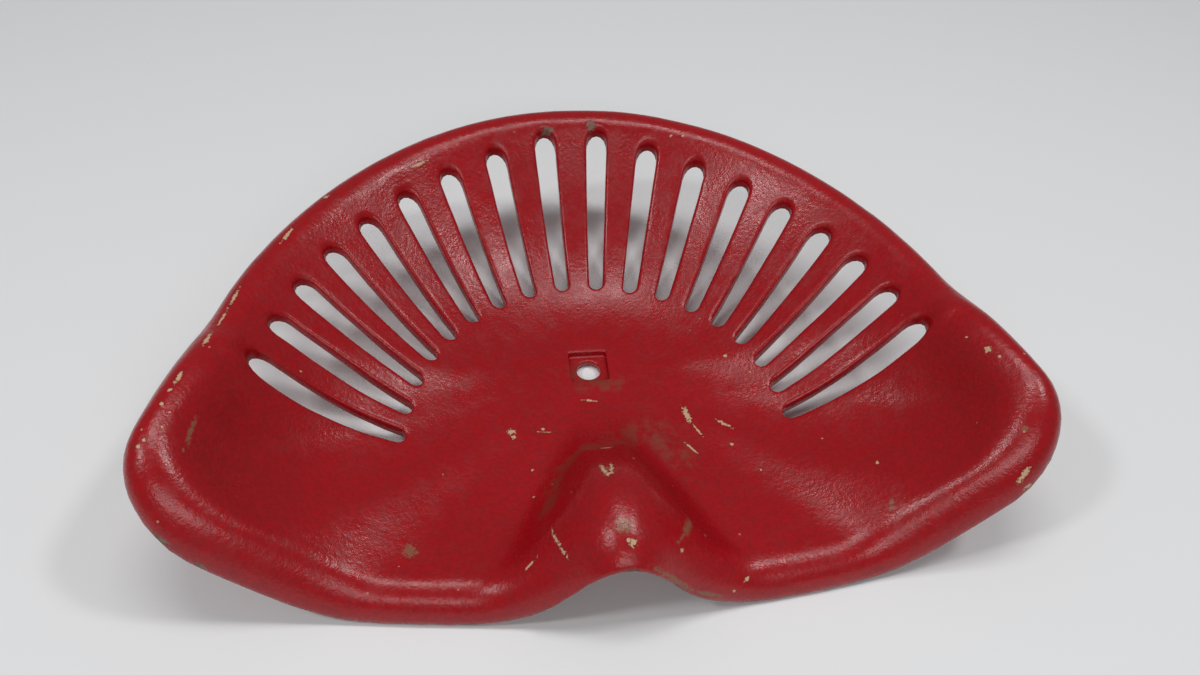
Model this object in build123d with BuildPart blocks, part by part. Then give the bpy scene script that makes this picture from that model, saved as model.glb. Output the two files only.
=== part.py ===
"""Cast-iron pan seat: a dished pan with a fan of slots, a rolled rim and an arched front.

Millimetres, +Z up, +Y to the back of the seat. The seat is the same on both sides of X = 0.
The origin is on the bolt axis, level with the underside of the bolt pad.
"""

import os
from math import asin, atan2, cos, degrees, hypot, radians, sin

from build123d import *

# Casting
wall = 5.5

# Bolt pad, with a square recess that stops the bolt head from turning
pad_radius = 24.0
pad_thickness = 9.0
bolt_hole_diameter = 14.0
recess_side = 22.0
recess_depth = 4.0
recess_corner_radius = 1.5

# Plan of the outer edge: elliptic back, flared sides, rounded corners and a bowed front
fan_centre_ahead = 71.0
side_radius = 204.7
back_radius = 229.2
side_angle = 17.6
corner_half_width = 228.1
corner_ahead = 125.2
corner_radius = 37.4
front_ahead = 156.8

# Roll of the rim: its radius, and how far it turns down, in degrees
roll_radius = 12.0
wing_roll_radius = 16.0
lobe_roll_radius = 22.0
pommel_roll_radius = 42.0
roll_angle = 80.0
lobe_roll_angle = 85.0
pommel_roll_angle = 40.5

# Height of the rim crest round the seat
back_height = 85.0
side_height = 79.0
wing_height = 89.7
pommel_height = 61.3

# Slope of the dish where it runs into the rim, in degrees
back_slope = 50.0
side_slope = 39.0
wing_slope = 65.0
lobe_slope = 6.0
pommel_slope = 22.0

# How long the dish stays flat before it climbs to the pommel, as a share of its usual run
pommel_flat = 1.5

# Where the rim falls from the wings to the front lobes, and how far the pommel and its arch spread
wing_azimuth = -18.7
lobe_azimuth = -53.0
pommel_half_width = 72.0
arch_half_width = 42.5

# Slots, fanned about the centre of the rim's ellipse
slots_a_side = 9
slot_pitch = 9.25
slot_inner_side = 105.6
slot_inner_back = 129.4
slot_outer_side = 179.0
slot_outer_back = 211.3
slot_inner_width = 8.5
slot_outer_width = 13.0
slot_edge_radius = 2.0

# Sections along one half of the rim, and those past the middle that keep it smooth there
section_count = 32
sections_past_middle = 2

# The lips of the front lobes stand level with the underside of the bolt pad
lip_radius = wall / 2
lobe_lip_drop = (lobe_roll_radius - lip_radius) * cos(radians(lobe_roll_angle))
lobe_height = lobe_roll_radius - lobe_lip_drop + lip_radius
bolt_hole_radius = bolt_hole_diameter / 2
core_radius = bolt_hole_radius / 2
inner_radius = slot_inner_width / 2
outer_radius = slot_outer_width / 2


def ease(share):
    """Run smoothly from 0 to 1, with level ends."""
    share = min(max(share, 0), 1)
    return share**3 * (10 - 15 * share + 6 * share**2)


def blend(first, second, share):
    return first + (second - first) * share


def round_the_rim(place, back, side, wing, lobe, pommel, half_width=pommel_half_width):
    """Blend a measure, given at five places round the rim, to this place on it."""
    azimuth = degrees(atan2(place.Y, abs(place.X)))
    if azimuth > 0:
        upper = blend(side, back, ease(azimuth / 90))
    else:
        upper = blend(side, wing, ease(azimuth / wing_azimuth))
    swell = max(1 - (place.X / half_width) ** 2, 0) ** 2
    lower = blend(lobe, pommel, swell)
    return blend(upper, lower, ease((wing_azimuth - azimuth) / (wing_azimuth - lobe_azimuth)))


def place_on_rim(share):
    """Find the outer edge in plan, from 0 at the back to 1 at the front, and mirrored past either."""
    place = rim_plan.line @ (1 - abs(1 - abs(share)))
    return place if 0 <= share <= 1 else Vector(-place.X, place.Y)


def draw_section(place):
    """Draw the casting's section from the bolt axis out to a place on the outer edge."""
    height = round_the_rim(place, back_height, side_height, wing_height, lobe_height, pommel_height)
    slope = round_the_rim(place, back_slope, side_slope, wing_slope, lobe_slope, pommel_slope)
    radius = round_the_rim(
        place, roll_radius, roll_radius, wing_roll_radius, lobe_roll_radius, pommel_roll_radius
    )
    angle = round_the_rim(
        place, roll_angle, roll_angle, roll_angle, lobe_roll_angle, pommel_roll_angle, arch_half_width
    )
    flat = round_the_rim(place, 1, 1, 1, 1, pommel_flat)
    uphill = Vector(cos(radians(slope)), sin(radians(slope)))
    lip_along = Vector(cos(radians(angle)), -sin(radians(angle)))
    lip_outward = Vector(-lip_along.Y, lip_along.X)
    roll_centre = Vector(hypot(place.X, place.Y) - radius * lip_outward.X, height - radius)
    lip_tip = roll_centre + lip_outward * (radius - lip_radius) + lip_along * lip_radius
    pad_edge = Vector(pad_radius, pad_thickness)
    pad_edge_under = Vector(pad_radius, 0)
    across = Vector(place.X, place.Y).normalized()
    with BuildSketch(Plane((0, 0, 0), x_dir=across, z_dir=across.cross(Axis.Z.direction))) as section:
        with BuildLine():
            roll = CenterArc(roll_centre, radius, 90 + slope, -slope - angle)
            roll_under = CenterArc(roll_centre, radius - wall, 90 + slope, -slope - angle)
            ThreePointArc(roll @ 1, lip_tip, roll_under @ 1)
            Spline(pad_edge, roll @ 0, tangents=[(1, 0), uphill], tangent_scalars=[flat, 1])
            Spline(pad_edge_under, roll_under @ 0, tangents=[(1, 0), uphill], tangent_scalars=[flat, 1])
            Polyline(pad_edge, (core_radius, pad_thickness), (core_radius, 0), pad_edge_under)
        make_face()
    return section.sketch


fan_centre = Vector(0, -fan_centre_ahead)
corner = Vector(corner_half_width, -corner_ahead)

with BuildLine() as rim_plan:
    back_arc = EllipticalCenterArc(
        fan_centre, side_radius, back_radius, start_angle=90, arc_size=side_angle - 90
    )
    TangentArc(back_arc @ 1, corner, tangent=back_arc % 1)
    TangentArc((0, -front_ahead), corner, tangent=(1, 0))
    fillet(rim_plan.vertices().sort_by_distance(corner)[0], corner_radius)

with BuildPart() as seat:
    # Pan and rim, one half of them
    numbers = range(-sections_past_middle, section_count + sections_past_middle + 1)
    loft([draw_section(place_on_rim(number / section_count)) for number in numbers])
    split(bisect_by=Plane.YZ)

    # Slots, narrower towards the bolt, with their upper edges rounded
    with BuildSketch():
        for number in range(slots_a_side):
            angle = 90 - slot_pitch * (number + 0.5)
            along = Vector(cos(radians(angle)), sin(radians(angle)))
            inner_reach = 1 / hypot(along.X / slot_inner_side, along.Y / slot_inner_back) + inner_radius
            outer_reach = blend(slot_outer_back, slot_outer_side, along.X) - outer_radius
            half_taper = degrees(asin((outer_radius - inner_radius) / (outer_reach - inner_reach)))
            with BuildLine():
                inner_end = CenterArc(
                    fan_centre + along * inner_reach, inner_radius, angle + 90 + half_taper, 180 - 2 * half_taper
                )
                outer_end = CenterArc(
                    fan_centre + along * outer_reach, outer_radius, angle - 90 - half_taper, 180 + 2 * half_taper
                )
                Line(outer_end @ 1, inner_end @ 0)
                Line(inner_end @ 1, outer_end @ 0)
            make_face()
    extrude(amount=wing_height, mode=Mode.SUBTRACT)
    slot_walls = seat.faces(Select.LAST).filter_by(lambda face: abs(face.normal_at().Z) < 1e-6)
    level_edges = [face.edges().filter_by(Axis.Z, reverse=True) for face in slot_walls]
    fillet([edges.sort_by(Axis.Z)[-1] for edges in level_edges], slot_edge_radius)

    # Bolt hole and recess
    with BuildSketch(Plane.XY.offset(pad_thickness)):
        RectangleRounded(recess_side, recess_side, recess_corner_radius)
    extrude(amount=-recess_depth, mode=Mode.SUBTRACT)
    Hole(bolt_hole_radius)

    mirror(about=Plane.YZ)

seat.part.label = "seat_casting"
os.makedirs("parts", exist_ok=True)
export_step(seat.part, "parts/seat_casting.step")
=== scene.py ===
"""Red enamelled cast-iron pan seat, dressed and lit as it lies on a pale floor."""

import bmesh
import bpy
import numpy as np
from mathutils import Matrix, Vector
from mathutils.bvhtree import BVHTree


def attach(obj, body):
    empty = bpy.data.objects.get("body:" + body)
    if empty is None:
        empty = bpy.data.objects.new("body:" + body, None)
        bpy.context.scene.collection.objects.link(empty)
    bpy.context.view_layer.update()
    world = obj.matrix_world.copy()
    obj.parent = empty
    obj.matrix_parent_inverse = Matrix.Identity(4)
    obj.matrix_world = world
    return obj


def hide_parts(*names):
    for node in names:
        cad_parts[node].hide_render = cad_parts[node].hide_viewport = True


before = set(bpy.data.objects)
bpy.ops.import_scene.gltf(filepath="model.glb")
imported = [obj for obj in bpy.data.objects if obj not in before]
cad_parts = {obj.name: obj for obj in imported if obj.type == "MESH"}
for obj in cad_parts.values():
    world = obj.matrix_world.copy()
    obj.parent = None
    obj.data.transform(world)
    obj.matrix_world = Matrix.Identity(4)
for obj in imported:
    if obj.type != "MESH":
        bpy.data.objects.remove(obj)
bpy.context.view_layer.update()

MM = 0.001

# Casting, in millimetres
WALL = 5.5
PAD_RADIUS = 24.0
PAD_THICKNESS = 9.0
BOLT_HOLE_RADIUS = 7.0
RECESS_SIDE = 22.0
RECESS_DEPTH = 4.0

# Plan of the outer edge, in millimetres and degrees
FAN_CENTRE = np.array([0.0, -71.0])
SIDE_RADIUS = 204.7
BACK_RADIUS = 229.2
SIDE_ANGLE = 17.6
CORNER = np.array([228.1, -125.2])
CORNER_RADIUS = 37.4
FRONT_AHEAD = 156.8

# Round the rim, at the back, side, wing, lobe and pommel, in millimetres and degrees
ROLL_RADII = (12.0, 12.0, 16.0, 16.0, 42.0)
ROLL_ANGLES = (80.0, 80.0, 80.0, 85.0, 40.5)
RIM_SLOPES = (50.0, 39.0, 65.0, 6.0, 22.0)
FLAT_SHARES = (1.0, 1.0, 1.0, 1.0, 1.5)
LIP_RADIUS = WALL / 2
LOBE_DROP = (ROLL_RADII[3] - LIP_RADIUS) * np.cos(np.radians(ROLL_ANGLES[3])) - LIP_RADIUS
RIM_HEIGHTS = (85.0, 79.0, 89.7, ROLL_RADII[3] - LOBE_DROP, 61.3)
WING_AZIMUTH = -18.7
LOBE_AZIMUTH = -53.0
POMMEL_HALF_WIDTH = 72.0
ARCH_HALF_WIDTH = 42.5

# Slots, in millimetres and degrees: reaches at the side and the back, radii of the inner and outer end
SLOTS = 18
SLOT_PITCH = 9.25
SLOT_INNER = (105.6, 129.4)
SLOT_OUTER = (179.0, 211.3)
SLOT_RADII = (4.25, 6.5)
TOP_ROUND = 2.2
UNDER_ROUND = 0.8
EDGE_ROUND = 0.8

# How far the middle of a rounded edge stands back, as a share of the round: edges, then the recess's foot
MID_EDGE = 0.3
MID_FOOT = 0.25

# Mesh steps, and how the columns bend between the bolt pad and the slots
OUTLINE_STEPS = 240
SLOT_STEPS = 8
BAR_STEPS = 6
FRONT_STEPS = 150
INNER_STEPS = 26
SLOT_LENGTH_STEPS = 44
OUTER_STEPS = 8
ROLL_STEPS = 12
LIP_STEPS = 6
ROUND_STEPS = 5
UNDER_ROUND_STEPS = 2
NEWTON_STEPS = 12
BEND_OF_GAP = 0.45
BEND_OF_SPOKE = 0.6
SQUARENESS = 16

# Softening of the folds beside the pommel and of the rim's shoulder, in passes, millimetres and mesh rows,
# and the share of the way out from the bolt pad at which it is full
SOFT_PASSES = 10
SOFT_HALF_WIDTH = 130.0
SOFT_FADE = 40.0
SOFT_ROWS = 11
SOFT_FULL_BY = 0.5

# Finishes: linear colours, then the sizes of their patterns in millimetres
ENAMEL_DEEP = (0.28, 0.001, 0.004, 1)
ENAMEL_BRIGHT = (0.40, 0.003, 0.008, 1)
ENAMEL_MOTTLED = (0.22, 0.003, 0.006, 1)
# Darker red for the hollows of the cast grain: painted shade
ENAMEL_GRAIN_HOLLOW_SHADE = (0.15, 0.004, 0.006, 1)
# Pale pink for the slot edges: thin worn enamel with a painted highlight
ENAMEL_THIN_AND_HIGHLIGHT = (0.44, 0.07, 0.06, 1)
RUBBED_BROWN = (0.17, 0.045, 0.022, 1)
OLIVE_COAT = (0.22, 0.10, 0.05, 1)
CHIP_RIM = (0.12, 0.012, 0.008, 1)
TAN_PRIMER = (0.52, 0.33, 0.2, 1)
SPECK_TAN = (0.5, 0.27, 0.17, 1)
# Near-black for the lip: worn bare iron and painted shade
LIP_WEAR_AND_SHADE = (0.09, 0.05, 0.04, 1)
BARE_IRON = (0.20, 0.15, 0.12, 1)
RUST_BROWN = (0.16, 0.06, 0.03, 1)
CLOUD_SIZE = 60.0
MOTTLE_SIZE = 9.0
RAGGED_SIZE = 1.6
GRAIN_SIZE = 2.2
PORE_SIZE = 0.8
SPECK_SPACING = 7.0
GRAIN_DEPTH = 0.7

# Camera, fitted to the photograph: heading, pitch and roll in degrees, place in millimetres
PHOTO_SIZE = np.array([1200, 675])
CAMERA_HEADING = 9.24
CAMERA_PITCH = 46.64
CAMERA_ROLL = -3.81
CAMERA_PLACE = np.array([-54.18, -367.24, 426.69])
CAMERA_LENS = 28.5
CAMERA_SENSOR = 36.0

# Wear, as pixels of the photograph with a radius in millimetres: spots, then streaks from end to end
TAN_SPOTS = [
    (511, 432, 1.9),
    (514, 437, 1.2),
    (543, 429, 1.0),
    (532, 470, 0.8),
    (534, 497, 0.7),
    (634, 458, 0.6),
    (633, 543, 1.6),
    (629, 540, 0.9),
    (732, 444, 0.9),
    (734, 591, 0.7),
    (682, 550, 0.9),
    (703, 436, 0.7),
    (725, 356, 0.9),
    (750, 372, 0.7),
    (761, 470, 0.6),
    (877, 463, 0.9),
    (988, 349, 1.5),
    (1000, 356, 0.8),
    (1024, 354, 0.9),
    (967, 337, 0.7),
    (1018, 496, 1.1),
    (419, 165, 1.8),
    (326, 197, 1.5),
    (301, 371, 0.7),
    (170, 390, 0.9),
    (162, 404, 1.0),
    (162, 427, 0.7),
    (144, 440, 0.7),
    (138, 446, 0.9),
    (671, 136, 0.8),
    (683, 136, 0.9),
]
TAN_STREAKS = [
    (536, 431, 549, 432, 0.6),
    (553, 533, 565, 554, 1.0),
    (525, 570, 535, 559, 0.6),
    (585, 400, 595, 401, 0.7),
    (601, 448, 611, 447, 0.6),
    (601, 466, 606, 474, 1.0),
    (606, 475, 612, 473, 1.0),
    (612, 472, 611, 464, 0.8),
    (684, 409, 689, 420, 1.6),
    (690, 421, 702, 435, 0.6),
    (719, 421, 730, 427, 1.0),
    (686, 443, 695, 451, 0.6),
    (745, 581, 748, 578, 0.8),
    (1020, 480, 1028, 470, 1.3),
    (1026, 488, 1032, 483, 1.2),
    (412, 167, 426, 161, 0.8),
    (238, 291, 230, 305, 0.9),
    (226, 312, 218, 325, 0.7),
    (211, 334, 204, 344, 1.0),
    (291, 230, 283, 240, 1.1),
    (181, 373, 175, 383, 1.0),
]
OLIVE_SPOTS = [
    (624, 524, 3.2),
    (607, 469, 2.2),
    (892, 502, 1.3),
    (892, 507, 1.4),
    (1025, 429, 1.5),
    (410, 551, 3.2),
]
OLIVE_STREAKS = [
    (689, 520, 686, 532, 2.0),
    (686, 533, 678, 542, 0.8),
    (194, 422, 188, 441, 1.2),
    (187, 442, 183, 451, 0.8),
    (655, 568, 690, 589, 1.2),
    (698, 592, 720, 596, 1.2),
]
RUST_SPOTS = [
    (547, 132, 3.0),
    (591, 126, 2.6),
]
RUST_STREAKS = [
    (156, 536, 163, 542, 2.0),
    (197, 564, 203, 567, 1.2),
]
RUBBED_STREAKS = [
    (545, 520, 556, 474, 9.0),
    (556, 474, 598, 446, 10.0),
    (598, 446, 650, 424, 11.0),
    (650, 424, 690, 470, 10.0),
    (572, 380, 616, 384, 12.0),
]

yaw, pitch, roll = np.radians((CAMERA_HEADING, CAMERA_PITCH, CAMERA_ROLL))
forward = np.array([np.sin(yaw) * np.cos(pitch), np.cos(yaw) * np.cos(pitch), -np.sin(pitch)])
level_right = np.array([np.cos(yaw), -np.sin(yaw), 0])
level_down = np.cross(forward, level_right)
rightward = level_right * np.cos(roll) + level_down * np.sin(roll)
downward = level_down * np.cos(roll) - level_right * np.sin(roll)


def blend(first, second, share):
    return first + (second - first) * share


def ease(share):
    """Run smoothly from 0 to 1, with level ends."""
    share = np.clip(share, 0, 1)
    return share**3 * (10 - 15 * share + 6 * share**2)


def heading(angle):
    return np.stack([np.cos(angle), np.sin(angle)], -1)


def rim_outline():
    """Right half of the outer edge in plan, from the back's middle to the front's middle."""
    share = np.linspace(0, 1, OUTLINE_STEPS)[:, None]
    turn = np.radians(blend(90, SIDE_ANGLE, share[:, 0]))
    back = FAN_CENTRE + heading(turn) * (SIDE_RADIUS, BACK_RADIUS)
    down = (CORNER - back[-1]) / np.linalg.norm(CORNER - back[-1])
    inward = np.array([down[1], -down[0]])
    rise = FRONT_AHEAD + CORNER[1]
    front_radius = (CORNER[0] ** 2 + rise**2) / (2 * rise)
    front_centre = np.array([0, front_radius - FRONT_AHEAD])
    start = CORNER + inward * CORNER_RADIUS
    reach = start - front_centre
    along = reach @ down
    spare = reach @ reach - (front_radius - CORNER_RADIUS) ** 2
    centre = start + down * (np.sqrt(along**2 - spare) - along)
    first = np.arctan2(*-inward[::-1])
    last = np.arctan2(*(centre - front_centre)[::-1])
    side = blend(back[-1], centre - inward * CORNER_RADIUS, share)
    corner = centre + CORNER_RADIUS * heading(blend(first, last, share[:, 0]))
    front = front_centre + front_radius * heading(blend(last, -np.pi / 2, share[:, 0]))
    return np.concatenate([back, side[1:], corner[1:], front[1:]])


outline = rim_outline()
outline_azimuth = np.degrees(np.arctan2(outline[:, 1], outline[:, 0]))
outline_radius = np.hypot(outline[:, 0], outline[:, 1])


def round_the_rim(azimuth, across, values, half_width=POMMEL_HALF_WIDTH):
    """Blend a measure, given at five places round the rim, to each azimuth in degrees."""
    back, side, wing, lobe, pommel = values
    upper = np.where(
        azimuth > 0,
        blend(side, back, ease(azimuth / 90)),
        blend(side, wing, ease(azimuth / WING_AZIMUTH)),
    )
    swell = np.clip(1 - (across / half_width) ** 2, 0, 1) ** 2
    lower = blend(lobe, pommel, swell)
    return blend(upper, lower, ease((WING_AZIMUTH - azimuth) / (WING_AZIMUTH - LOBE_AZIMUTH)))


def crest(plan):
    """Radius, height, slope, roll radius, roll angle and flat share towards each plan point."""
    azimuth = np.degrees(np.arctan2(plan[..., 1], np.abs(plan[..., 0])))
    edge = np.interp(azimuth, outline_azimuth[::-1], outline_radius[::-1])
    across = edge * np.cos(np.radians(azimuth))
    height = round_the_rim(azimuth, across, RIM_HEIGHTS)
    slope = np.radians(round_the_rim(azimuth, across, RIM_SLOPES))
    roll = round_the_rim(azimuth, across, ROLL_RADII)
    turn = np.radians(round_the_rim(azimuth, across, ROLL_ANGLES, ARCH_HALF_WIDTH))
    flat = round_the_rim(azimuth, across, FLAT_SHARES)
    return edge - roll * np.sin(turn), height, slope, roll, turn, flat


crest_line = outline * (crest(outline)[0] / outline_radius)[:, None]
fan_angle = np.arctan2(crest_line[:, 1] - FAN_CENTRE[1], crest_line[:, 0])
fan_radius = np.hypot(crest_line[:, 0], crest_line[:, 1] - FAN_CENTRE[1])


def rim_reach(angle):
    """Distance from the fan centre to the rim crest, at an angle in radians."""
    folded = np.arcsin(np.sin(angle))
    return np.interp(folded, fan_angle[::-1], fan_radius[::-1])


def pan_height(plan, depth, pad_height):
    """Height over plan points inside the crest of the surface at a depth below the top."""
    radius, height, slope, roll, _, flat = crest(plan)
    distance = np.hypot(plan[..., 0], plan[..., 1])
    centre = height - roll
    roll = roll - depth
    shoulder = radius - roll * np.sin(slope)
    run = shoulder - PAD_RADIUS
    climb = centre + roll * np.cos(slope) - pad_height
    chord = np.hypot(run, climb)
    wanted = np.clip(distance - PAD_RADIUS, 0, run)
    share = wanted / run
    for _ in range(NEWTON_STEPS):
        rise_start = share**3 - 2 * share**2 + share
        rise_end = share**3 - share**2
        step = 3 * share**2 - 2 * share**3
        reached = flat * chord * rise_start + run * step + chord * np.cos(slope) * rise_end
        speed = (
            flat * chord * (3 * share**2 - 4 * share + 1)
            + run * (6 * share - 6 * share**2)
            + chord * np.cos(slope) * (3 * share**2 - 2 * share)
        )
        share = np.clip(share - (reached - wanted) / speed, 0, 1)
    step = 3 * share**2 - 2 * share**3
    dish = pad_height + climb * step + chord * np.sin(slope) * (share**3 - share**2)
    lean = np.clip((distance - radius) / roll, -1, 1)
    return np.where(distance < shoulder, dish, centre + roll * np.sqrt(1 - lean**2))


def lift(plan, under):
    """Raise plan points to the top or the underside of the pan."""
    if under:
        height = pan_height(plan, WALL, 0.0)
    else:
        height = pan_height(plan, 0.0, PAD_THICKNESS)
    return np.concatenate([plan, height[..., None]], -1)


def slot_ends(index, offset):
    """Plan points round the inner and the outer end of a slot, right side to left side."""
    angle = np.radians(90 + SLOT_PITCH * (index - (SLOTS - 1) / 2))
    along = heading(angle)
    inner_reach = 1 / np.hypot(along[0] / SLOT_INNER[0], along[1] / SLOT_INNER[1]) + SLOT_RADII[0]
    outer_reach = blend(SLOT_OUTER[1], SLOT_OUTER[0], abs(along[0])) - SLOT_RADII[1]
    taper = np.arcsin((SLOT_RADII[1] - SLOT_RADII[0]) / (outer_reach - inner_reach))
    swing = np.linspace(1, -1, SLOT_STEPS + 1)
    inner_turn = angle + np.pi + swing * (np.pi / 2 - taper)
    outer_turn = angle - swing * (np.pi / 2 + taper)
    inner = FAN_CENTRE + inner_reach * along + (SLOT_RADII[0] + offset) * heading(inner_turn)
    outer = FAN_CENTRE + outer_reach * along + (SLOT_RADII[1] + offset) * heading(outer_turn)
    return inner, outer


def between(first, last, steps):
    share = np.linspace(0, 1, steps + 1)[1:-1, None]
    return blend(first, last, share)


def columns(offset):
    """Inner end, chord, outer end and crest angle of every mesh column."""
    ends = [slot_ends(index, offset) for index in range(SLOTS)]
    inner, chord, outer, rim = [], [], [], []
    share = np.linspace(0, 1, SLOT_STEPS + 1)[:, None]
    for index, (slot_inner, slot_outer) in enumerate(ends):
        edge = np.unwrap(np.arctan2(*(slot_outer[[0, -1]] - FAN_CENTRE).T[::-1]))
        inner.append(slot_inner)
        chord.append(blend(slot_inner[0], slot_inner[-1], share))
        outer.append(slot_outer)
        rim.append(blend(edge[0], edge[1], share[:, 0]))
        if index + 1 < SLOTS:
            after_inner, after_outer = ends[index + 1]
            following = np.arctan2(*(after_outer[0] - FAN_CENTRE)[::-1])
            inner.append(between(slot_inner[-1], after_inner[0], BAR_STEPS))
            chord.append(inner[-1])
            outer.append(between(slot_outer[-1], after_outer[0], BAR_STEPS))
            rim.append(between(edge[1], following, BAR_STEPS)[:, 0])
    front_inner = front_arc(ends[-1][0][-1], ends[0][0][0])
    front_outer = front_arc(ends[-1][1][-1], ends[0][1][0])
    turn = np.arctan2(*(front_outer - FAN_CENTRE).T[::-1])
    inner.append(front_inner)
    chord.append(front_inner)
    outer.append(front_outer)
    rim.append(turn)
    return [np.concatenate(part) for part in (inner, chord, outer, rim)]


def front_arc(first, last):
    """Points round the front from the last slot to the first, at one share of the rim's reach."""
    start = np.arctan2(*(first - FAN_CENTRE)[::-1]) % (2 * np.pi)
    stop = np.arctan2(*(last - FAN_CENTRE)[::-1]) % (2 * np.pi) + 2 * np.pi
    turn = between(np.array([start]), np.array([stop]), FRONT_STEPS)[:, 0]
    share = np.linalg.norm(first - FAN_CENTRE) / rim_reach(start)
    return FAN_CENTRE + heading(turn) * (share * rim_reach(turn))[:, None]


def square(angle, half_side):
    """Points on a square with slightly rounded corners."""
    sides = np.abs(heading(angle)) ** SQUARENESS
    return heading(angle) * (half_side / sides.sum(-1) ** (1 / SQUARENESS))[:, None]


def level(plan, height):
    return np.concatenate([plan, np.full(plan.shape[:-1] + (1,), height)], -1)


def pan_rings(offset, under):
    """Rings of one surface from the bolt pad to the rim crest, and the bearing of each column."""
    inner, chord, outer, rim = columns(offset)
    bearing = np.arctan2(chord[:, 1], chord[:, 0])
    if under:
        start = heading(bearing) * (BOLT_HOLE_RADIUS + EDGE_ROUND)
    else:
        start = square(bearing, RECESS_SIDE / 2 + EDGE_ROUND)
    spokes = chord - FAN_CENTRE
    spoke_length = np.linalg.norm(spokes, axis=1)
    gap = np.linalg.norm(chord - start, axis=1)
    reach = np.minimum(BEND_OF_GAP * gap, BEND_OF_SPOKE * spoke_length)
    middle = chord - spokes * (reach / spoke_length)[:, None]
    top = FAN_CENTRE + heading(rim) * rim_reach(rim)[:, None]
    rings = []
    for share in np.linspace(0, 1, INNER_STEPS + 1):
        rings.append((1 - share) ** 2 * start + 2 * share * (1 - share) * middle + share**2 * inner)
    for share in np.linspace(0, 1, SLOT_LENGTH_STEPS + 1)[1:]:
        rings.append(blend(inner, outer, share))
    for share in np.linspace(0, 1, OUTER_STEPS + 1)[1:]:
        rings.append(blend(outer, top, share))
    return lift(np.array(rings), under), bearing


def rim_rings(top):
    """Rings over the roll, round the lip and back under the roll, from crest to crest."""
    plan = top[:, :2]
    radius, height, _, roll, turn, _ = crest(plan)
    out = plan / np.linalg.norm(plan, axis=1)[:, None]
    middle = roll - LIP_RADIUS
    profile = []
    for share in np.linspace(0, 1, ROLL_STEPS + 1)[1:]:
        profile.append((roll * np.sin(share * turn), roll * np.cos(share * turn)))
    for lean in turn + np.linspace(0, np.pi, LIP_STEPS + 1)[1:-1, None]:
        outward = middle * np.sin(turn) + LIP_RADIUS * np.sin(lean)
        profile.append((outward, middle * np.cos(turn) + LIP_RADIUS * np.cos(lean)))
    for share in np.linspace(1, 0, ROLL_STEPS + 1)[:-1]:
        inside = roll - WALL
        profile.append((inside * np.sin(share * turn), inside * np.cos(share * turn)))
    rings = []
    for outward, upward in profile:
        place = out * (radius + outward)[:, None]
        rings.append(np.concatenate([place, (height - roll + upward)[:, None]], 1))
    return np.array(rings)


def soften(upper, rim, lower):
    """Ease the folds beside the pommel, then the rim's shoulder round the front, above and below alike.

    Gives the rings up to the roll's outer end, those of the lip, and those from there to the bolt pad.
    """
    across = np.abs(rim[0, :, 0])
    front = ease((SOFT_HALF_WIDTH - across) / SOFT_FADE) * (rim[0, :, 1] < 0)
    spread = ease(np.linspace(0, 1 / SOFT_FULL_BY, len(upper)))[:, None] * front
    for _ in range(SOFT_PASSES):
        for rings, weight in ((upper, spread), (rim, front[None]), (lower, spread[::-1])):
            beside = (np.roll(rings, 1, 1) + np.roll(rings, -1, 1)) / 2
            rings += (beside - rings) * weight[..., None] / 2
    turned = ease(-rim[0, :, 1] / SOFT_FADE)
    over = np.concatenate([upper, rim[:ROLL_STEPS]])
    below = np.concatenate([rim[-ROLL_STEPS:], lower])
    near_crest = np.abs(np.arange(len(over)) - len(upper) + 1)
    shoulder = ease((SOFT_ROWS - near_crest) / SOFT_ROWS)[:, None] * turned
    for _ in range(SOFT_PASSES):
        for rings, weight in ((over, shoulder), (below, shoulder[::-1])):
            beside = (rings[2:] + rings[:-2]) / 2
            rings[1:-1] += (beside - rings[1:-1]) * weight[1:-1, :, None] / 2
    return over, rim[ROLL_STEPS:-ROLL_STEPS], below


def recess_rings(bearing):
    """Rings up the bolt hole and the recess, from the underside to the top of the pad."""
    floor = PAD_THICKNESS - RECESS_DEPTH
    hole = heading(bearing) * BOLT_HOLE_RADIUS
    lead = heading(bearing) * (BOLT_HOLE_RADIUS + EDGE_ROUND)
    half = RECESS_SIDE / 2
    foot = square(bearing, half - EDGE_ROUND)
    return np.array(
        [
            level(hole, EDGE_ROUND),
            level(hole, floor - EDGE_ROUND),
            level(blend(hole, lead, MID_EDGE), floor - MID_EDGE * EDGE_ROUND),
            level(lead, floor),
            level(blend(lead, foot, 0.5), floor),
            level(foot, floor),
            level(square(bearing, half - MID_FOOT * EDGE_ROUND), floor + MID_FOOT * EDGE_ROUND),
            level(square(bearing, half), floor + EDGE_ROUND),
            level(square(bearing, half), PAD_THICKNESS - EDGE_ROUND),
            level(square(bearing, half + MID_EDGE * EDGE_ROUND), PAD_THICKNESS - MID_EDGE * EDGE_ROUND),
        ]
    )


def slot_loop(index, offset, drop, under):
    """One loop round a slot: inner end, left side, outer end, right side."""
    inner, outer = slot_ends(index, offset)
    share = np.linspace(0, 1, SLOT_LENGTH_STEPS + 1)[1:-1, None]
    left = blend(inner[-1], outer[-1], share)
    right = blend(outer[0], inner[0], share)
    loop = lift(np.concatenate([inner, left, outer[::-1], right]), under)
    return loop + (0, 0, drop)


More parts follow.
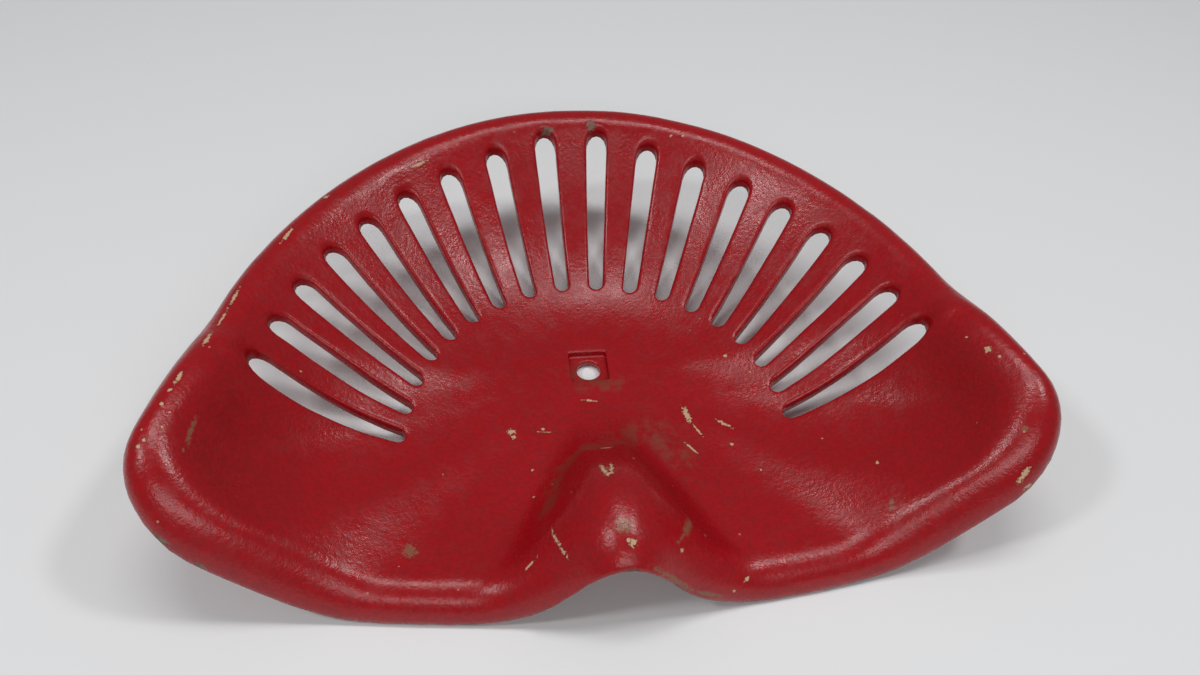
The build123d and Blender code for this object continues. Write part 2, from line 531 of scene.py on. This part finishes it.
def build_pan():
    """Mesh of the whole casting: rings from the bolt hole over the rim and back, with the slots cut in."""
    upper, bearing = pan_rings(TOP_ROUND, False)
    lower, _ = pan_rings(UNDER_ROUND, True)
    rim = rim_rings(upper[-1])
    rings = np.concatenate([recess_rings(bearing), *soften(upper, rim, lower[::-1])])
    count, width = rings.shape[:2]
    vertices = [rings.reshape(-1, 3)]
    number = np.arange(count * width).reshape(count, width)
    first_upper = len(recess_rings(bearing))
    first_lower = count - len(lower)
    upper_slot = first_upper + INNER_STEPS
    lower_slot = first_lower + OUTER_STEPS
    pitch = SLOT_STEPS + BAR_STEPS
    cut = np.zeros((count, width), bool)
    for index in range(SLOTS):
        first = index * pitch
        for row in (upper_slot, lower_slot):
            cut[row : row + SLOT_LENGTH_STEPS, first : first + SLOT_STEPS] = True
    after = np.roll(number, -1, 1)
    ahead, ahead_after = np.roll(number, -1, 0), np.roll(after, -1, 0)
    quads = [np.stack([number, ahead, ahead_after, after], -1)[~cut]]
    edge = [np.zeros(count * width)]
    lip = np.zeros((count, width))
    lip_rows = first_upper + len(upper) + ROLL_STEPS + np.arange(-1, LIP_STEPS)
    lip[lip_rows] = np.sin(np.linspace(0, np.pi, len(lip_rows) + 2)[1:-1, None])
    total = count * width
    for index in range(SLOTS):
        span = index * pitch + np.arange(SLOT_STEPS + 1)
        loops = []
        for row, up in ((upper_slot, 1), (lower_slot + SLOT_LENGTH_STEPS, -1)):
            rows = row + up * np.arange(1, SLOT_LENGTH_STEPS)
            far = row + up * SLOT_LENGTH_STEPS
            loops.append(
                np.concatenate(
                    [
                        number[row, span],
                        number[rows, span[-1]],
                        number[far, span[::-1]],
                        number[rows[::-1], span[0]],
                    ]
                )
            )
        chain = [loops[0]]
        for turn in np.linspace(0, np.pi / 2, ROUND_STEPS + 1)[1:]:
            offset, drop = TOP_ROUND * (1 - np.sin(turn)), -TOP_ROUND * (1 - np.cos(turn))
            loop = slot_loop(index, offset, drop, False)
            vertices.append(loop)
            # Share of the top round, for thin enamel and a painted highlight along the slot edge
            edge.append(np.full(len(loop), np.sin(2 * turn)))
            chain.append(total + np.arange(len(loop)))
            total += len(loop)
        for turn in np.linspace(np.pi / 2, 0, UNDER_ROUND_STEPS + 1)[:-1]:
            offset, drop = UNDER_ROUND * (1 - np.sin(turn)), UNDER_ROUND * (1 - np.cos(turn))
            loop = slot_loop(index, offset, drop, True)
            vertices.append(loop)
            edge.append(np.zeros(len(loop)))
            chain.append(total + np.arange(len(loop)))
            total += len(loop)
        chain.append(loops[1])
        for one, two in zip(chain, chain[1:]):
            quads.append(np.stack([one, two, np.roll(two, -1), np.roll(one, -1)], -1))
    mesh = bpy.data.meshes.new("seat_pan")
    points = np.concatenate(vertices) * MM
    mesh.from_pydata(points.tolist(), [], np.concatenate(quads).tolist())
    edge = np.concatenate(edge)
    # Share of the lip, for its wear and painted shade and for its rough cast skin
    lip_mask = np.concatenate([lip.ravel(), np.zeros(len(edge) - lip.size)])
    for name, values in (("slot_edge", edge), ("lip_edge", lip_mask)):
        mesh.attributes.new(name, "FLOAT", "POINT").data.foreach_set("value", values.astype(np.float32))
    form = bmesh.new()
    form.from_mesh(mesh)
    bmesh.ops.delete(form, geom=[v for v in form.verts if not v.link_faces], context="VERTS")
    bmesh.ops.recalc_face_normals(form, faces=form.faces)
    form.to_mesh(mesh)
    form.free()
    mesh.shade_smooth()
    return mesh


def seat_points(surface, pixels):
    """Points on the seat, in millimetres, that pixels of the photograph show."""
    offset = (np.array(pixels, float) - PHOTO_SIZE / 2) * CAMERA_SENSOR / CAMERA_LENS / PHOTO_SIZE[0]
    rays = forward + offset[:, :1] * rightward + offset[:, 1:] * downward
    return np.array([surface.ray_cast(CAMERA_PLACE, ray)[0] for ray in rays])


def put(tree, kind, values=None, **settings):
    """Add a node to a tree, with its settings, and its inputs set or linked."""
    node = tree.nodes.new(kind)
    for name, value in settings.items():
        setattr(node, name, value)
    for key, value in (values or {}).items():
        if isinstance(value, bpy.types.NodeSocket):
            tree.links.new(value, node.inputs[key])
        else:
            node.inputs[key].default_value = value
    return node


def math(tree, operation, first, second=0.0):
    return put(tree, "ShaderNodeMath", {0: first, 1: second}, operation=operation).outputs[0]


def vector(tree, operation, first, second=(0, 0, 0)):
    return put(tree, "ShaderNodeVectorMath", {0: first, 1: second}, operation=operation)


def noise(tree, place, size, detail=2.0, seed=0.0, roughness=0.5):
    """Noise from 0 to 1, with lumps of about a size in millimetres."""
    values = {"Vector": place, "W": seed, "Scale": 1 / (size * MM), "Detail": detail, "Roughness": roughness}
    return put(tree, "ShaderNodeTexNoise", values, noise_dimensions="4D").outputs[0]


def ramp(tree, value, low, high, first=0.0, last=1.0):
    """Run smoothly from first to last as a value goes from low to high."""
    values = {0: value, 1: low, 2: high, 3: first, 4: last}
    return put(tree, "ShaderNodeMapRange", values, interpolation_type="SMOOTHSTEP").outputs[0]


def mix(tree, factor, first, second):
    return put(tree, "ShaderNodeMix", {0: factor, 6: first, 7: second}, data_type="RGBA").outputs[2]


def socket(tree, name, kind, in_out="INPUT"):
    return tree.interface.new_socket(name, in_out=in_out, socket_type="NodeSocket" + kind)


def mark_wear(mesh, name, spots, streaks):
    """Give each face corner its place in the nearest worn mark, as shares of the mark's size.

    A mark is where the seat shows at its pixels, so it lies on the casting seen from any side.
    """
    marks = [(x, y, x, y, radius) for x, y, radius in spots] + streaks
    points = np.empty(len(mesh.vertices) * 3)
    mesh.vertices.foreach_get("co", points)
    points = points.reshape(-1, 3) / MM
    faces = np.empty(len(mesh.loops), int)
    mesh.loops.foreach_get("vertex_index", faces)
    faces = faces.reshape(-1, 4)
    surface = BVHTree.FromPolygons(points.tolist(), faces.tolist())
    starts = seat_points(surface, [mark[:2] for mark in marks])
    ends = seat_points(surface, [mark[2:4] for mark in marks])
    corners = points[faces]
    middles = corners.mean(1)
    nearest = np.full(len(middles), np.inf)
    places = np.zeros_like(corners)
    for (*_, radius), start, end in zip(marks, starts, ends):
        half = np.linalg.norm(end - start) / 2
        along = (end - start) / (2 * half) if half else np.zeros(3)
        shorten = 1 / radius - 1 / (half + radius)
        squeeze = np.eye(3) / radius - shorten * np.outer(along, along)
        distance = np.linalg.norm((middles - (start + end) / 2) @ squeeze, axis=1)
        nearer = distance < nearest
        places[nearer] = (corners[nearer] - (start + end) / 2) @ squeeze
        nearest = np.minimum(nearest, distance)
    attribute = mesh.attributes.new(name, "FLOAT_VECTOR", "CORNER")
    attribute.data.foreach_set("vector", places.astype(np.float32).ravel())


def worn_field(tree, name):
    """Share of the way to the edge of the nearest worn mark, 1 at its edge."""
    place = put(tree, "ShaderNodeAttribute", attribute_name=name).outputs["Vector"]
    return vector(tree, "LENGTH", place).outputs["Value"]


def red_enamel():
    """Worn satin enamel over a rough casting, chipped to tan primer and iron, with painted shade in the
    grain's hollows and along the lip, and a painted highlight along the slot edges.
    """
    material = bpy.data.materials.new("red_enamel")
    material.use_nodes = True
    tree = material.node_tree
    paint = tree.nodes["Principled BSDF"]
    place = put(tree, "ShaderNodeTexCoord").outputs["Object"]
    slot_edge = put(tree, "ShaderNodeAttribute", attribute_name="slot_edge").outputs["Fac"]
    lip_edge = put(tree, "ShaderNodeAttribute", attribute_name="lip_edge").outputs["Fac"]
    cloud = noise(tree, place, CLOUD_SIZE, 4, 1)
    mottle = noise(tree, place, MOTTLE_SIZE, 4, 2, 0.6)
    ragged = noise(tree, place, RAGGED_SIZE, 3, 3, 0.7)
    grain = noise(tree, place, GRAIN_SIZE, 3, 4, 0.55)
    pores = noise(tree, place, PORE_SIZE, 2, 5)

    # Where the paint is worn, with painted shade along the lip and a painted highlight along the slot edges
    roughen = ramp(tree, ragged, 0.25, 0.75, -0.8, 0.8)
    tan = math(tree, "ADD", worn_field(tree, "tan_mark"), roughen)
    olive = math(tree, "ADD", worn_field(tree, "olive_mark"), roughen)
    rust = math(tree, "ADD", worn_field(tree, "rust_mark"), roughen)
    rubbed = worn_field(tree, "rubbed_mark")
    rubbed = math(tree, "MULTIPLY", ramp(tree, rubbed, 1.25, 0.3), ramp(tree, mottle, 0.4, 0.62))
    speck = put(tree, "ShaderNodeTexVoronoi", {"Vector": place, "Scale": 1 / (SPECK_SPACING * MM)})
    chance = put(tree, "ShaderNodeSeparateColor", {0: speck.outputs["Color"]}).outputs[0]
    rare = ramp(tree, chance, 0.8, 1.0, 0.0, 0.09)
    specks = math(tree, "LESS_THAN", speck.outputs["Distance"], rare)
    # Patches along the lip, for wear and painted shade
    lip_wear_and_shade = math(tree, "MULTIPLY", ramp(tree, lip_edge, 0.3, 0.9), ramp(tree, mottle, 0.5, 0.62))
    slot_wear_and_highlight = math(tree, "MULTIPLY", slot_edge, ramp(tree, mottle, 0.5, 0.75, 0.0, 0.45))

    # Colour
    colour = mix(tree, cloud, ENAMEL_DEEP, ENAMEL_BRIGHT)
    colour = mix(tree, ramp(tree, mottle, 0.35, 0.75, 0.0, 0.35), colour, ENAMEL_MOTTLED)
    # Darker where the grain is low, in its hollows: painted shade
    colour = mix(tree, ramp(tree, grain, 0.62, 0.38, 0.0, 0.3), colour, ENAMEL_GRAIN_HOLLOW_SHADE)
    # Pink along the slot edges: thin worn enamel and a painted highlight
    colour = mix(tree, slot_wear_and_highlight, colour, ENAMEL_THIN_AND_HIGHLIGHT)
    colour = mix(tree, math(tree, "MULTIPLY", rubbed, 0.55), colour, RUBBED_BROWN)
    colour = mix(tree, ramp(tree, olive, 1.3, 0.7, 0.0, 0.8), colour, OLIVE_COAT)
    colour = mix(tree, ramp(tree, tan, 1.5, 1.0, 0.0, 0.6), colour, CHIP_RIM)
    colour = mix(tree, ramp(tree, tan, 1.0, 0.85), colour, TAN_PRIMER)
    colour = mix(tree, math(tree, "MULTIPLY", specks, 0.7), colour, SPECK_TAN)
    # Dark patches along the lip: worn iron and painted shade
    colour = mix(tree, lip_wear_and_shade, colour, LIP_WEAR_AND_SHADE)
    iron = mix(tree, ramp(tree, ragged, 0.35, 0.65), BARE_IRON, RUST_BROWN)
    colour = mix(tree, ramp(tree, rust, 1.15, 0.85), colour, iron)
    tree.links.new(colour, paint.inputs["Base Color"])

    # Gloss
    worn = math(tree, "MAXIMUM", ramp(tree, tan, 1.1, 0.9), ramp(tree, rust, 1.2, 0.9))
    worn = math(tree, "MAXIMUM", worn, math(tree, "MAXIMUM", lip_wear_and_shade, specks))
    dull = ramp(tree, math(tree, "ADD", mottle, math(tree, "MULTIPLY", rubbed, 0.4)), 0.3, 0.9, 0.21, 0.42)
    rough = math(tree, "MAXIMUM", dull, math(tree, "MULTIPLY", worn, 0.8))
    tree.links.new(rough, paint.inputs["Roughness"])
    paint.inputs["Specular IOR Level"].default_value = 0.42

    # Leathery cast grain under the paint, with the chips sunk into it
    height = math(tree, "ADD", math(tree, "MULTIPLY", grain, 0.45), math(tree, "MULTIPLY", pores, 0.16))
    height = math(tree, "SUBTRACT", height, math(tree, "MULTIPLY", worn, 0.25))
    bump = put(tree, "ShaderNodeBump", {"Strength": 0.7, "Distance": GRAIN_DEPTH * MM, "Height": height})
    tree.links.new(bump.outputs[0], paint.inputs["Normal"])
    return material


def cast_skin():
    """Uneven face of a sand casting: broad swells, small ripples and a rough lip."""
    tree = bpy.data.node_groups.new("cast_skin", "GeometryNodeTree")
    tree.is_modifier = True
    socket(tree, "Geometry", "Geometry")
    for name in ("Swell depth", "Swell size", "Ripple depth", "Ripple size", "Lip depth", "Lip size", "Seed"):
        socket(tree, name, "Float")
    socket(tree, "Enamel", "Material")
    socket(tree, "Geometry", "Geometry", "OUTPUT")
    given = put(tree, "NodeGroupInput").outputs
    place = put(tree, "GeometryNodeInputPosition").outputs[0]
    lip = put(tree, "GeometryNodeInputNamedAttribute", {"Name": "lip_edge"}, data_type="FLOAT").outputs[0]
    push = 0.0
    for kind, share in (("Swell", 1.0), ("Ripple", 1.0), ("Lip", lip)):
        scale = math(tree, "DIVIDE", 1.0, given[kind + " size"])
        values = {"Vector": place, "W": given["Seed"], "Scale": scale, "Detail": 1.0}
        lumps = put(tree, "ShaderNodeTexNoise", values, noise_dimensions="4D").outputs[0]
        depth = math(tree, "MULTIPLY", given[kind + " depth"], share)
        push = math(tree, "ADD", push, math(tree, "MULTIPLY", math(tree, "SUBTRACT", lumps, 0.5), depth))
    normal = put(tree, "GeometryNodeInputNormal").outputs[0]
    offset = put(tree, "ShaderNodeVectorMath", {0: normal, "Scale": push}, operation="SCALE").outputs[0]
    moved = put(tree, "GeometryNodeSetPosition", {"Geometry": given["Geometry"], "Offset": offset}).outputs[0]
    real = put(tree, "GeometryNodeRealizeInstances", {"Geometry": moved}).outputs[0]
    dressed = put(tree, "GeometryNodeSetMaterial", {"Geometry": real, "Material": given["Enamel"]}).outputs[0]
    put(tree, "NodeGroupOutput", {0: dressed})
    return tree


SKIN_VALUES = {
    "Swell depth": 0.9 * MM,
    "Swell size": 45 * MM,
    "Ripple depth": 0.35 * MM,
    "Ripple size": 11 * MM,
    "Lip depth": 1.2 * MM,
    "Lip size": 7 * MM,
    "Seed": 3.0,
    "Enamel": red_enamel(),
}


def dress(rough_mesh, tree, values):
    """Pass a mesh through a node tree with its inputs set, and give the plain mesh that comes out."""
    holder = bpy.data.objects.new("rough_casting", rough_mesh)
    bpy.context.scene.collection.objects.link(holder)
    modifier = holder.modifiers.new(tree.name, "NODES")
    modifier.node_group = tree
    for item in tree.interface.items_tree:
        if item.in_out == "INPUT" and item.name in values:
            modifier[item.identifier] = values[item.name]
    evaluated = holder.evaluated_get(bpy.context.evaluated_depsgraph_get())
    mesh = bpy.data.meshes.new_from_object(evaluated)
    holder.modifiers.remove(modifier)
    bpy.data.objects.remove(holder)
    return mesh


casting = build_pan()
mark_wear(casting, "tan_mark", TAN_SPOTS, TAN_STREAKS)
mark_wear(casting, "olive_mark", OLIVE_SPOTS, OLIVE_STREAKS)
mark_wear(casting, "rust_mark", RUST_SPOTS, RUST_STREAKS)
mark_wear(casting, "rubbed_mark", [], RUBBED_STREAKS)
pan = bpy.data.objects.new("seat_pan", dress(casting, cast_skin(), SKIN_VALUES))
bpy.context.scene.collection.objects.link(pan)
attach(pan, "root")
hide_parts("seat_casting")

# Floor, just under the lips of the lobes, with light and camera; metres and watts
FLOOR_HALF = 4
FLOOR_DROP = 0.0005
floor_mesh = bpy.data.meshes.new("pale_floor")
floor_corners = [(x * FLOOR_HALF, y * FLOOR_HALF, 0) for x, y in ((-1, -1), (1, -1), (1, 1), (-1, 1))]
floor_mesh.from_pydata(floor_corners, [], [(0, 1, 2, 3)])
floor = bpy.data.objects.new("pale_floor", floor_mesh)
floor.location.z = -FLOOR_DROP
bpy.context.scene.collection.objects.link(floor)
floor_paint = bpy.data.materials.new("floor_white")
floor_paint.use_nodes = True
floor_shader = floor_paint.node_tree.nodes["Principled BSDF"]
floor_shader.inputs["Base Color"].default_value = (0.78, 0.79, 0.80, 1)
floor_shader.inputs["Roughness"].default_value = 0.7
floor.data.materials.append(floor_paint)

world = bpy.data.worlds.new("studio")
world.use_nodes = True
sky = world.node_tree.nodes["Background"]
sky.inputs["Color"].default_value = (1, 1, 1, 1)
sky.inputs["Strength"].default_value = 0.2
bpy.context.scene.world = world


def ceiling_lamp(name, place, length, width, power):
    """Hang an oblong lamp that faces the bolt pad."""
    lamp = bpy.data.lights.new(name, "AREA")
    lamp.energy = power
    lamp.shape = "RECTANGLE"
    lamp.size = length
    lamp.size_y = width
    holder = bpy.data.objects.new(name, lamp)
    holder.location = place
    holder.rotation_euler = (-Vector(place)).to_track_quat("-Z", "Y").to_euler()
    bpy.context.scene.collection.objects.link(holder)


ceiling_lamp("lamp_above", (0.0, 0.15, 1.8), 1.0, 0.35, 9)
ceiling_lamp("lamp_left", (-1.05, -0.36, 1.42), 0.2, 0.2, 6)
ceiling_lamp("lamp_right", (0.9, -0.05, 1.56), 0.2, 0.2, 6)
ceiling_lamp("lamp_front", (0.0, -1.35, 1.1), 1.2, 0.4, 6.5)

eye = bpy.data.cameras.new("photo_eye")
eye.lens = CAMERA_LENS
eye.sensor_width = CAMERA_SENSOR
camera = bpy.data.objects.new("photo_eye", eye)
turn = Matrix((rightward, -downward, -forward)).transposed().to_4x4()
camera.matrix_world = Matrix.Translation(CAMERA_PLACE * MM) @ turn
bpy.context.scene.collection.objects.link(camera)
bpy.context.scene.camera = camera
bpy.context.scene.view_settings.view_transform = "Standard"
